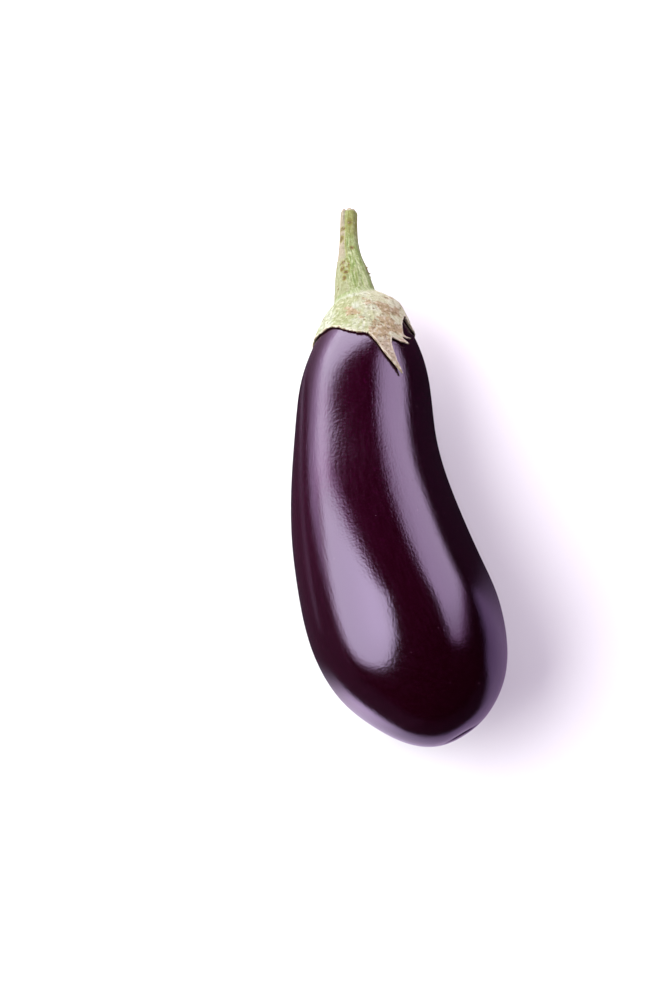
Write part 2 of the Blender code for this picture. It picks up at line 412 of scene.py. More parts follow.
def skin_normal(station, turn):
    """Outward directions at places on the skin."""
    step = 0.002
    middle = np.clip(station, 2 * step, 1 - 2 * step)
    low, high = middle - step, middle + step
    along = bare_skin(high, turn) - bare_skin(low, turn)
    around = bare_skin(middle, turn + step) - bare_skin(middle, turn - step)
    outward = np.cross(along, around)
    return outward / np.linalg.norm(outward, axis=-1, keepdims=True)


def skin(station, turn, lift):
    """Places that stand lift above the skin."""
    return bare_skin(station, turn) + skin_normal(station, turn) * np.asarray(lift)[..., None]


def distance_table(steps=0.00025, reach=0.075):
    """Stations for every 2 degrees of turn and for every step down from the crown."""
    turns = np.radians(np.arange(0, 362, 2.0))
    stations = np.linspace(1.0, 0.4, 601)
    grid_turn, grid_station = np.meshgrid(turns, stations, indexing="ij")
    places = bare_skin(grid_station, grid_turn)
    run = np.cumsum(np.linalg.norm(np.diff(places, axis=1), axis=2), axis=1)
    run = np.hstack([np.zeros((len(turns), 1)), run])
    distances = np.arange(0, reach, steps)
    table = np.stack([np.interp(distances, row, stations) for row in run])
    return table, steps


stations_below_crown = distance_table()


def station_at(turn, distance):
    """The stations at these turns and distances down the skin from the crown."""
    table, step = stations_below_crown
    column = (np.degrees(turn) % 360) / 2
    row = distance / step
    i, j = column.astype(int), np.clip(row.astype(int), 0, table.shape[1] - 2)
    u, v = column - i, row - j
    top = table[i, j] * (1 - u) + table[i + 1, j] * u
    bottom = table[i, j + 1] * (1 - u) + table[i + 1, j + 1] * u
    return top * (1 - v) + bottom * v


def turned(places):
    """Places of the fruit's own frame, dipped towards the stem as it lies."""
    x, y, z = np.moveaxis(places, -1, 0)
    c, s = math.cos(DIP), math.sin(DIP)
    return np.stack([x, y * c + z * s, z * c - y * s], -1)


def resting_shift():
    """How far the dipped fruit is moved so that it stands where its solid does."""
    stations, turns = np.meshgrid(np.linspace(0, 1, 400), np.linspace(0, 2 * np.pi, 360))
    places = turned(bare_skin(stations, turns)).reshape(-1, 3)
    low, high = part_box("fruit")
    middle = (np.array(low) + np.array(high)) / 2
    shift = middle - (places.min(axis=0) + places.max(axis=0)) / 2
    shift[2] = high[2] - places[:, 2].max()
    return shift


shift_to_rest = resting_shift()


def laid(places):
    """Places of the fruit's own frame where they are on the table."""
    return turned(places) + shift_to_rest


def flattened(places):
    """Places kept off the table's surface, with a soft bend where the flat spot begins."""
    height = places[..., 2] / BELLY_SOFTNESS
    soft = np.where(height > 30, height, np.log1p(np.exp(np.minimum(height, 30))))
    flat = places.copy()
    flat[..., 2] = soft * BELLY_SOFTNESS
    return flat


def grain(places, size, seed):
    """Smooth noise from -1 to 1 at these places, with features of this size."""
    offset = Vector((seed * 7.31, seed * 3.17, seed * 5.53))
    return np.array([noise.noise(Vector(place) / size + offset) for place in places])


def round_ring(turn, third):
    """Points of a ring of radius 1, for noise that meets itself all round a piece."""
    return np.stack([np.cos(turn), np.sin(turn), third], 1)


# ---------------------------------------------------------------------- making a piece


def vertex_places(mesh):
    return np.array([vertex.co for vertex in mesh.verts])


def move_vertices(mesh, places):
    for vertex, place in zip(mesh.verts, places):
        vertex.co = place


def finish_piece(mesh, name, grown, masks, material, slot, *nodes):
    """Makes a visible piece of a closed mesh and lets it stand for the CAD nodes.

    grown holds each vertex's place with the bends taken out, for patterns that follow
    the growth, and masks holds more values for the materials.
    """
    bmesh.ops.recalc_face_normals(mesh, faces=mesh.faces)
    for face in mesh.faces:
        face.smooth = True
    data = bpy.data.meshes.new(name)
    mesh.to_mesh(data)
    mesh.free()
    straight = data.attributes.new("grown", "FLOAT_VECTOR", "POINT")
    straight.data.foreach_set("vector", np.asarray(grown, np.float32).ravel())
    for mask, values in masks.items():
        layer = data.attributes.new(mask, "FLOAT", "POINT")
        layer.data.foreach_set("value", np.asarray(values, np.float32))
    piece = bpy.data.objects.new(name, data)
    bpy.context.scene.collection.objects.link(piece)
    data.materials.append(material)
    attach(piece, "root")
    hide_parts(*nodes)


# ---------------------------------------------------------------------------- the fruit


def make_fruit(material):
    """The skin: a fine sphere drawn out along the centreline, with faint lumps."""
    mesh = bmesh.new()
    bmesh.ops.create_uvsphere(mesh, u_segments=SKIN_SEGMENTS, v_segments=SKIN_RINGS, radius=1)
    x, y, z = vertex_places(mesh).T
    station = np.arccos(np.clip(-z, -1, 1)) / np.pi
    turn = np.arctan2(y, x)
    bare = bare_skin(station, turn)
    stretched = bare * LUMP_STRETCH
    swell = sum(grain(stretched, size, i) * height for i, (size, height) in enumerate(LUMPS))
    from_scar = bare - bare_skin(np.array(SCAR_STATION), np.array(-np.pi / 2))
    from_blossom = np.linalg.norm(from_scar, axis=1)
    width, depth = SCAR_HOLLOW
    half_length, half_width, crease_depth = SCAR_CREASE
    up = from_scar[:, 2]
    sideways = np.sqrt(np.clip(from_blossom**2 - up**2, 0, None))
    crease = np.exp(-((sideways / half_length) ** 2) - (up / half_width) ** 2)
    swell -= depth * np.exp(-((from_blossom / width) ** 2)) + crease_depth * crease + SKIN_INSET
    move_vertices(mesh, flattened(laid(skin(station, turn, swell))))
    radius = fullness(station) * np.sin(np.pi * station)
    along = FRUIT_LENGTH * (1 - np.cos(np.pi * station)) / 2
    grown = np.stack([radius * np.cos(turn), radius * np.sin(turn), along], 1)
    masks = {"blossom": from_blossom}
    finish_piece(mesh, "fruit_skin", grown, masks, material, "skin", "fruit")


# ---------------------------------------------------------------------------- the calyx


def lobe_of(turn_degrees):
    """Reach past the edge, full length, lean and tip lift of the lobe at each turn."""
    reach = np.zeros_like(turn_degrees)
    length = np.ones_like(turn_degrees)
    lean = np.zeros_like(turn_degrees)
    rise = np.zeros_like(turn_degrees)
    for middle, before, past, full, tip_lean, tip_lift in LOBES:
        away = degrees_from(turn_degrees, middle)
        share = np.where(away > 0, away / past, -away / before)
        here = full * np.interp(share, *zip(*LOBE_PROFILE))
        rules = here > reach
        reach = np.where(rules, here, reach)
        length = np.where(rules, full, length)
        lean = np.where(rules, tip_lean, lean)
        rise = np.where(rules, tip_lift, rise)
    return reach, length, lean, rise


def ragged(turn_degrees):
    """Small uneven steps of the calyx's edge at each turn."""
    turn = np.radians(turn_degrees)
    ring = round_ring(turn, np.zeros_like(turn))
    return sum(height * grain(ring, size, i + 4) for i, (size, height) in enumerate(RAGGED_STEPS))


def bare_at(turn_degrees, distance):
    """One place on the skin at this turn and distance down from the crown."""
    turn = np.array([math.radians(turn_degrees)])
    return bare_skin(station_at(turn, np.array([distance])), turn)


def make_calyx(material):
    """The cap: a ring whose section lies on the shoulder, from the collar to its rim."""
    mesh = bmesh.new()
    bmesh.ops.create_circle(mesh, segments=CALYX_SECTION_POINTS, radius=1)
    stand_up = Matrix.Rotation(math.radians(90), 3, "X")
    bmesh.ops.rotate(mesh, verts=mesh.verts, cent=(0, 0, 0), matrix=stand_up)
    bmesh.ops.translate(mesh, verts=mesh.verts, vec=(2, 0, 0))
    bmesh.ops.spin(
        mesh,
        geom=mesh.verts[:] + mesh.edges[:],
        cent=(0, 0, 0),
        axis=(0, 0, 1),
        angle=2 * math.pi,
        steps=CALYX_COLUMNS,
        use_merge=True,
    )
    bmesh.ops.remove_doubles(mesh, verts=mesh.verts, dist=1e-6)
    x, y, z = vertex_places(mesh).T
    column = np.degrees(np.arctan2(y, x)) % 360
    section = (np.arctan2(z, 2 - np.hypot(x, y)) / np.pi) % 2
    outside = section <= 1
    share = 1 - (1 - np.where(outside, section, 2 - section)) ** CROWDING_TO_RIM

    edge = calyx_edge(column) - np.interp(column, *zip(*TEAR))
    reach, length, lean, rise = lobe_of(column)
    end = edge + reach + ragged(column)
    distance = CALYX_HOLE + share * (end - CALYX_HOLE)
    past = np.clip(distance - edge, 0, None) / length
    turn = np.radians(column + lean * past**LEAN_POWER)
    station = station_at(turn, distance)
    bare = bare_skin(station, turn)

    rim = kdtree.KDTree(CALYX_COLUMNS)
    on_rim = share > 1 - 1e-9
    for i, place in enumerate(bare[on_rim]):
        rim.insert(place, i)
    rim.balance()
    from_rim = np.array([rim.find(place)[2] for place in bare])

    thinner = np.clip(distance / CALYX_THIN_FROM, 0, 1)
    thickness = CALYX_CROWN_THICKNESS + thinner * (CALYX_EDGE_THICKNESS - CALYX_CROWN_THICKNESS)
    swollen_turn, swollen_down, spread, spread_down, swelling = SWELLING
    away = degrees_from(column, swollen_turn)
    swollen = (away / spread) ** 2 + ((distance - swollen_down) / spread_down) ** 2
    thickness += swelling * np.exp(-swollen)
    round_edge = np.clip(from_rim / (CALYX_EDGE_THICKNESS / 2), 0, 1)
    round_edge = np.sqrt(1 - (1 - round_edge) ** 2)
    half = thickness / 2 * (RIM_SHARE + (1 - RIM_SHARE) * round_edge)
    near_rim = np.exp(-((from_rim / RIM_LIFT_SPREAD) ** 2))
    off_skin = CALYX_GAP + RIM_LIFT * near_rim + rise * np.clip(past, 0, 1) ** 2
    bumps = sum(grain(bare, size, i + 8) * height for i, (size, height) in enumerate(CALYX_BUMPS))
    rib_size, rib_height = CALYX_RIBS
    ribs = rib_height * grain(round_ring(turn, distance * CALYX_RIB_RUN), rib_size, 12)
    lift = off_skin + thickness / 2 + np.where(outside, half + bumps + ribs, -half)
    up_stem = np.clip((COLLAR_END - distance) / (COLLAR_END - COLLAR_TOP), 0, COLLAR_OVERRUN)
    collar = COLLAR_HEIGHT * up_stem**COLLAR_STEEPNESS
    crown_axis = np.radians(heading(1.0))
    upward = np.array([math.sin(crown_axis), math.cos(crown_axis), 0.0])
    places = skin(station, turn, lift) + upward * np.where(outside, collar, 0)[:, None]
    move_vertices(mesh, flattened(laid(places)))
    grown = round_ring(turn, distance) * (STRAIGHT_RADIUS, STRAIGHT_RADIUS, 1)
    blemish = np.zeros_like(distance)
    for at, reach_down, spread, strength in CALYX_BLEMISHES:
        away = np.linalg.norm(bare - bare_at(at, reach_down), axis=1) / spread
        blemish = np.maximum(blemish, strength * np.exp(-(away**2)))
    masks = {
        "rim": from_rim,
        "down": distance,
        "lobe": past,
        "outside": outside,
        "blemish": blemish,
    }
    finish_piece(mesh, "calyx_cap", grown, masks, material, "calyx", "calyx")


# ----------------------------------------------------------------------------- the stem


def away_from(turn, turn_degrees):
    """How far each turn is from this one, in radians from -pi to pi."""
    return (turn - math.radians(turn_degrees) + np.pi) % (2 * np.pi) - np.pi


def make_stem(material):
    """The stalk: a sphere drawn out along its bent line, with a dry, uneven cut end."""
    mesh = bmesh.new()
    bmesh.ops.create_uvsphere(mesh, u_segments=STEM_AROUND, v_segments=STEM_ALONG, radius=1)
    x, y, z = vertex_places(mesh).T
    ring = 1 - np.arccos(np.clip(z, -1, 1)) / np.pi
    turn = np.arctan2(y, x)
    # The rings are shared out between the hidden foot, the side and the cut face.
    foot, cut = 0.06, 0.88
    side = np.clip((ring - foot) / (cut - foot), 0, 1)
    inward = np.clip((ring - cut) / (1 - cut), 0, 1)
    footing = np.clip(ring / foot, 0, 1)

    heading_of, rise_of = spline(STEM_HEADING), spline(STEM_RISE)
    crown = bare_skin(np.array(1.0), np.array(0.0))
    line = walk(STEM_LENGTH, heading_of, rise_of, crown + (0, 0.0003, 0))
    ahead, climb = np.radians(heading_of(side)), np.radians(rise_of(side))
    flat = np.cos(climb)
    forward = np.stack([np.sin(ahead) * flat, np.cos(ahead) * flat, np.sin(climb)], 1)
    across = np.stack([np.cos(ahead), -np.sin(ahead), np.zeros_like(ahead)], 1)
    upward = np.cross(across, forward)

    radius = spline(STEM_RADII)(side)
    grown = np.stack([radius * np.cos(turn), radius * np.sin(turn), side * STEM_LENGTH], 1)
    facet = 2 * np.pi / STEM_RIBS
    on_facet = (turn - math.radians(STEM_RIB_TURN) - STEM_TWIST * side) % facet - facet / 2
    ribs = STEM_SQUARENESS * (math.cos(facet / 2) / np.cos(on_facet) - 0.9)
    fibre_size, fibre_height = STEM_FIBRES
    fibres = fibre_height * grain(grown * (1, 1, 0.06), fibre_size, 20)
    knob_size, knob_height = STEM_KNOBS
    knobs = knob_height * grain(grown * (1, 1, 0.35), knob_size, 21)
    flank = radius * (1 + ribs + fibres + knobs)
    circle = round_ring(turn, np.zeros_like(turn))
    uneven = 1 + 0.5 * grain(circle, 0.5, 24) + 0.5 * grain(circle, 0.12, 25)
    above_collar = (side * STEM_LENGTH - SKIRT_START) / SKIRT_FADE
    flank += SKIRT * uneven * np.exp(-np.clip(above_collar, 0, 9))
    for share, turn_degrees, height in PRICKLES:
        away = away_from(turn, turn_degrees)
        reach = np.hypot(away * radius, (side - share) * STEM_LENGTH)
        flank += height * np.clip(1 - reach / PRICKLE_RADIUS, 0, 1) ** 1.5
    mark = np.zeros_like(side)
    for share, turn_degrees, half_along, half_around, strength in STEM_MARKS:
        up_and_down = (side - share) * STEM_LENGTH / half_along
        round_it = away_from(turn, turn_degrees) * radius / half_around
        here = strength * np.exp(-(up_and_down**2) - round_it**2)
        mark = np.maximum(mark, here)
    flank -= MARK_DEPTH * mark
    groove = np.exp(-((np.degrees(away_from(turn, GROOVE_TURN)) / GROOVE_WIDTH) ** 2))
    flank -= GROOVE_DEPTH * groove * np.interp(side, GROOVE_SPAN, (0, 1))
    rounding = np.clip((side - 1 + CUT_ROUNDING) / CUT_ROUNDING, 0, 1)
    flank *= 1 - CUT_NARROWING * rounding**2

    # The cut face: a raised uneven lip, a sunken pith and a torn notch.
    lip = np.exp(-(((inward - 0.18) / 0.16) ** 2))
    torn = grain(round_ring(turn, inward), 0.55, 22)
    rough = grain(round_ring(turn, inward * 2), 0.16, 23)
    flank *= np.where(inward > 0, 1 - inward**1.6, 1)
    flank *= np.where(footing < 1, footing**0.5, 1)
    rise = LIP_HEIGHT * lip - CUT_SUNK - PITH_SUNK * inward - NOTCH_DEPTH * groove * (1 - inward)
    near_cut = np.clip((side - CUT_START) / (1 - CUT_START), 0, 1) ** 2
    coarse, small = CUT_TEARS
    rise += (coarse * torn + small * rough) * near_cut * (1 - 0.8 * inward)
    rise *= near_cut
    outward = across * np.cos(turn)[:, None] + upward * np.sin(turn)[:, None]
    places = read_line(line, side) + outward * flank[:, None] + forward * rise[:, None]
    move_vertices(mesh, laid(places))
    tan_face = np.cos(turn - math.radians(STEM_RIB_TURN) - facet / 2 - STEM_TWIST * side)
    left = -np.cos(turn)
    masks = {"cut": inward, "side": side, "tan_face": tan_face, "mark": mark, "left": left}
    finish_piece(mesh, "cut_stem", grown, masks, material, "stem", "stem")


# ------------------------------------------------------------------------ node building


def fill(tree, made, values):
    """Sets or links these values on a node's sockets."""
    for socket, value in values.items():
        if isinstance(value, bpy.types.NodeSocket):
            tree.links.new(value, made.inputs[socket])
        else:
            made.inputs[socket].default_value = value
    return made


def add(tree, kind, values=None, **settings):
    """A new shader node, with these settings and these values on its sockets."""
    made = tree.nodes.new("ShaderNode" + kind)
    for setting, value in settings.items():
        setattr(made, setting, value)
    return fill(tree, made, values or {})


def band(tree, value, low, high, to_low=0.0, to_high=1.0):
    """Turns a value from low to high smoothly into one from to_low to to_high."""
    made = add(
        tree,
        "MapRange",
        {"Value": value, "From Min": low, "From Max": high, "To Min": to_low, "To Max": to_high},
        interpolation_type="SMOOTHSTEP",
    )
    return made.outputs["Result"]


def blend(tree, share, first, second):
    """Mixes two colours, each a socket or its red, green and blue."""
    values = {0: share, 6: first, 7: second}
    for index in (6, 7):
        if isinstance(values[index], tuple):
            values[index] = (*values[index], 1)
    return add(tree, "Mix", values, data_type="RGBA").outputs[2]


def maths(tree, operation, first, second=0.0):
    return add(tree, "Math", {0: first, 1: second}, operation=operation).outputs[0]


def times(tree, first, second):
    return maths(tree, "MULTIPLY", first, second)


def plus(tree, first, second):
    return maths(tree, "ADD", first, second)


def centred(tree, value, spread):
    """A value from 0 to 1, moved to lie round 0 and spread over this much."""
    return times(tree, maths(tree, "SUBTRACT", value, 0.5), spread)


def hypotenuse(tree, first, second):
    squares = [maths(tree, "POWER", side, 2.0) for side in (first, second)]
    return maths(tree, "SQRT", plus(tree, *squares))


def distance_from(tree, place, point):
    made = add(tree, "VectorMath", {0: place, 1: point}, operation="DISTANCE")
    return made.outputs["Value"]


def cloud(tree, vector, scale, detail=3.0, roughness=0.5):
    """A noise from 0 to 1."""
    values = {"Vector": vector, "Scale": scale, "Detail": detail, "Roughness": roughness}
    return add(tree, "TexNoise", values).outputs["Fac"]


def attribute(tree, name, vector=False):
    made = add(tree, "Attribute", attribute_name=name)
    return made.outputs["Vector" if vector else "Fac"]


def new_group(name, values, outputs):
    """An empty node group that takes a Vector and these values, with its ends."""
    tree = bpy.data.node_groups.new(name, "ShaderNodeTree")
    tree.interface.new_socket("Vector", in_out="INPUT", socket_type="NodeSocketVector")
    for socket, value in values.items():
        made = tree.interface.new_socket(socket, in_out="INPUT", socket_type="NodeSocketFloat")
        made.default_value = value
    for socket in outputs:
        tree.interface.new_socket(socket, in_out="OUTPUT", socket_type="NodeSocketFloat")
    start, end = tree.nodes.new("NodeGroupInput"), tree.nodes.new("NodeGroupOutput")
    return tree, start.outputs, end.inputs


def patches_group():
    """Soft-edged patches: where a noise is over a threshold."""
    values = {"Size": 0.01, "Threshold": 0.5, "Softness": 0.1}
    tree, given, out = new_group("Patches", values, ("Mask", "Noise"))
    scale = maths(tree, "DIVIDE", 1.0, given["Size"])
    fog = cloud(tree, given["Vector"], scale, 4.0, 0.6)
    low = maths(tree, "SUBTRACT", given["Threshold"], given["Softness"])
    high = plus(tree, given["Threshold"], given["Softness"])
    tree.links.new(band(tree, fog, low, high), out["Mask"])
    tree.links.new(fog, out["Noise"])
    return tree


def specks_group():
    """Scattered round specks of uneven size, of which Share are kept."""
    values = {"Spacing": 0.003, "Radius": 0.15, "Share": 0.3}
    tree, given, out = new_group("Specks", values, ("Mask",))
    scale = maths(tree, "DIVIDE", 1.0, given["Spacing"])
    cells = add(tree, "TexVoronoi", {"Vector": given["Vector"], "Scale": scale, "Randomness": 1.0})
    spread = add(tree, "SeparateColor", {"Color": cells.outputs["Color"]}).outputs
    size = times(tree, given["Radius"], plus(tree, spread["Green"], 0.4))
    dot = band(tree, cells.outputs["Distance"], times(tree, size, 0.45), size, 1.0, 0.0)
    kept = maths(tree, "LESS_THAN", spread["Red"], given["Share"])
    tree.links.new(times(tree, dot, kept), out["Mask"])
    return tree


def fibres_group():
    """Fine streaks along the third axis of straightened coordinates."""
    tree, given, out = new_group("Fibres", {"Width": 0.001, "Stretch": 0.08}, ("Mask",))
    scale = maths(tree, "DIVIDE", 1.0, given["Width"])
    stretch = add(tree, "CombineXYZ", {"X": 1.0, "Y": 1.0, "Z": given["Stretch"]}).outputs[0]
    drawn = add(tree, "VectorMath", {0: given["Vector"], 1: stretch}, operation="MULTIPLY")
    tree.links.new(cloud(tree, drawn.outputs[0], scale, 3.0, 0.6), out["Mask"])
    return tree


def use(tree, group, **values):
    """Places a node group, with its values by socket name."""
    made = tree.nodes.new("ShaderNodeGroup")
    made.node_tree = group
    return fill(tree, made, values).outputs


def new_material(name):
    """An empty material with a principled shader."""
    made = bpy.data.materials.new(name)
    made.use_nodes = True
    return made, made.node_tree, made.node_tree.nodes["Principled BSDF"]


def connect(tree, shader, colour, roughness, heights):
    """Feeds a shader its colour, its roughness and its bumps, the coarsest first."""
    tree.links.new(colour, shader.inputs["Base Color"])
    tree.links.new(roughness, shader.inputs["Roughness"])
    normal = None
    for height, distance, strength in heights:
        bump = add(tree, "Bump", {"Height": height, "Distance": distance, "Strength": strength})
        if normal is not None:
            tree.links.new(normal, bump.inputs["Normal"])
        normal = bump.outputs["Normal"]
    tree.links.new(normal, shader.inputs["Normal"])


# ------------------------------------------------------------------------ the materials


def skin_material(patches, specks, fibres):
    """Waxy aubergine skin: near black purple, with faint streaks and pale pores."""
    made, tree, shader = new_material("aubergine_skin")
    grown = attribute(tree, "grown", vector=True)
    split = add(tree, "SeparateXYZ", {"Vector": grown}).outputs
    drift = use(tree, patches, Vector=grown, Size=0.05, Threshold=0.5, Softness=0.22)
    streak = use(tree, fibres, Vector=grown, Width=0.0011, Stretch=0.09)["Mask"]
    pores = use(tree, specks, Vector=grown, Spacing=0.0034, Radius=0.055, Share=0.45)["Mask"]
    colour = blend(tree, drift["Mask"], SKIN_DARK, SKIN_LIGHT)
    # Darker at the blossom end, and painted shade down the +X flank.
    colour = blend(tree, band(tree, split["Z"], 0.01, 0.09, 0.8, 0.0), colour, SKIN_BULB)
    colour = blend(tree, band(tree, streak, 0.35, 0.75, 0.0, 0.35), colour, SKIN_STREAK)
    colour = blend(tree, band(tree, split["X"], 0.008, 0.024, 0.0, 0.9), colour, SKIN_PAINTED_SHADE)
    colour = blend(tree, times(tree, pores, 0.55), colour, SKIN_PORE)
    scar_edge = plus(tree, attribute(tree, "blossom"), centred(tree, drift["Noise"], 0.004))
    scar = band(tree, scar_edge, 0.0008, 0.0017, 1.0, 0.0)
    colour = blend(tree, scar, colour, SKIN_SCAR)
    # The grain is stronger towards the neck, where it also tints the skin.
    towards_neck = band(tree, split["Z"], 0.05, 0.13, 0.35, 1.0)
    peel = cloud(tree, grown, 1250.0)
    wave = use(tree, fibres, Vector=grown, Width=0.0030, Stretch=0.25)["Mask"]
    dashes = use(tree, fibres, Vector=grown, Width=0.0008, Stretch=0.40)["Mask"]
    dashes = times(tree, dashes, towards_neck)
    drawn = times(tree, streak, towards_neck)
    tint = times(tree, band(tree, peel, 0.52, 0.72), towards_neck)
    colour = blend(tree, times(tree, tint, 0.45), colour, SKIN_GRAIN)
    roughness = plus(tree, band(tree, streak, 0.3, 0.7, 0.11, 0.15), times(tree, scar, 0.45))
    bumps = (
        (wave, 0.0003, 0.14),
        (drawn, 0.00018, 0.25),
        (dashes, 0.00008, 0.7),
        (peel, 0.00006, 0.75),
    )
    connect(tree, shader, colour, roughness, bumps)
    shader.inputs["Specular IOR Level"].default_value = 1.0
    shader.inputs["Specular Tint"].default_value = WAX_TINT
    return made


def calyx_material(patches, specks, fibres):
    """Cream green sepals, corky tan in patches and on the lobes, with a painted highlight along the
    rim.
    """
    made, tree, shader = new_material("calyx_green")
    grown = attribute(tree, "grown", vector=True)
    lobe = attribute(tree, "lobe")
    place = add(tree, "TexCoord").outputs["Object"]
    fine = use(tree, patches, Vector=place, Size=0.0016, Threshold=0.5, Softness=0.10)["Noise"]
    strand = use(tree, fibres, Vector=grown, Width=0.0013, Stretch=0.14)["Mask"]
    # Cream green, yellower in some parts and greener in others.
    tone = use(tree, patches, Vector=place, Size=0.0085, Threshold=0.50, Softness=0.07)
    colour = blend(tree, tone["Mask"], CALYX_GREEN, CALYX_CREAM)
    colour = blend(tree, band(tree, strand, 0.48, 0.68, 0.0, 0.6), colour, CALYX_STRAND)
    vein = use(tree, patches, Vector=place, Size=0.0040, Threshold=0.60, Softness=0.03)["Mask"]
    colour = blend(tree, times(tree, vein, 0.55), colour, CALYX_VEIN)
    # The +X side is painted paler, as painted light where less light falls, and is also drier and
    # more marked.
    split = add(tree, "SeparateXYZ", {"Vector": grown})
    painted_light_and_dryness = band(tree, split.outputs["X"], -0.010, 0.020)
    colour = blend(tree, times(tree, painted_light_and_dryness, 0.7), colour, CALYX_PAINTED_LIGHT)
    lobe_end = band(tree, lobe, 0.0, 0.25, 0.0, 0.9)
    dry = maths(tree, "MAXIMUM", times(tree, painted_light_and_dryness, 0.5), lobe_end)
    cork = use(tree, patches, Vector=place, Size=0.0034, Threshold=0.50, Softness=0.07)["Noise"]
    broken = plus(tree, attribute(tree, "blemish"), times(tree, dry, 0.30))
    broken = plus(tree, broken, centred(tree, cork, 1.9))
    corky = band(tree, broken, 0.34, 0.56, 0.0, 0.9)
    colour = blend(tree, corky, colour, CALYX_CORK)
    colour = blend(tree, band(tree, lobe, -0.01, 0.25, 0.0, 0.8), colour, LOBE_TAN)
    # Fine brown stipple and scratches, thickest in the cork.
    marked = maths(tree, "MAXIMUM", corky, band(tree, lobe, 0.0, 0.2, 0.0, 0.8))
    stipple = use(tree, specks, Vector=place, Spacing=0.0011, Radius=0.36, Share=0.5)["Mask"]
    stipple = times(tree, stipple, band(tree, marked, 0.0, 0.8, 0.10, 0.75))
    colour = blend(tree, stipple, colour, CALYX_STIPPLE)
    spots = use(tree, specks, Vector=place, Spacing=0.0036, Radius=0.19, Share=0.50)["Mask"]
    colour = blend(tree, times(tree, spots, 0.85), colour, CALYX_SPOT)
    scar = use(tree, patches, Vector=place, Size=0.0024, Threshold=0.62, Softness=0.03)["Mask"]
    scar = times(tree, scar, band(tree, marked, 0.0, 0.8, 0.15, 0.9))
    colour = blend(tree, scar, colour, CALYX_SCAR)
    colour = blend(tree, band(tree, fine, 0.36, 0.48, 0.50, 0.0), colour, CALYX_FINE_DARK)
    colour = blend(tree, band(tree, fine, 0.52, 0.66, 0.0, 0.50), colour, CALYX_FINE_PALE)
    # The stem's green fibres run on over the collar and end unevenly.
    ridge = use(tree, fibres, Vector=grown, Width=0.0028, Stretch=0.32)["Mask"]
    green = blend(tree, band(tree, ridge, 0.40, 0.62), COLLAR_PALE, COLLAR_GREEN)
    uneven = plus(tree, attribute(tree, "down"), centred(tree, ridge, 0.012))
    colour = blend(tree, band(tree, uneven, 0.0095, 0.0120, 0.95, 0.0), colour, green)
    # A painted highlight along the rim, broken in places, with a brown edge.
    to_rim = plus(tree, attribute(tree, "rim"), centred(tree, fine, 0.0016))
    whole = band(tree, cork, 0.40, 0.55, 0.25, 0.9)
    painted_rim_highlight = times(tree, band(tree, to_rim, 0.0004, 0.0008, 0.9, 0.0), whole)
    colour = blend(tree, painted_rim_highlight, colour, RIM_PAINTED_HIGHLIGHT)
    colour = blend(tree, band(tree, to_rim, 0.0, 0.0003, 0.8, 0.0), colour, RIM_BROWN)
    colour = blend(tree, attribute(tree, "outside"), CALYX_INSIDE, colour)
    roughness = band(tree, cork, 0.3, 0.7, 0.58, 0.85)
    grit = cloud(tree, place, 1000.0)
    bumps = ((cork, 0.0008, 0.5), (strand, 0.0005, 0.6), (fine, 0.0005, 0.6), (grit, 0.00018, 0.7))
    connect(tree, shader, colour, roughness, bumps)
    shader.inputs["Specular IOR Level"].default_value = 0.25
    return made


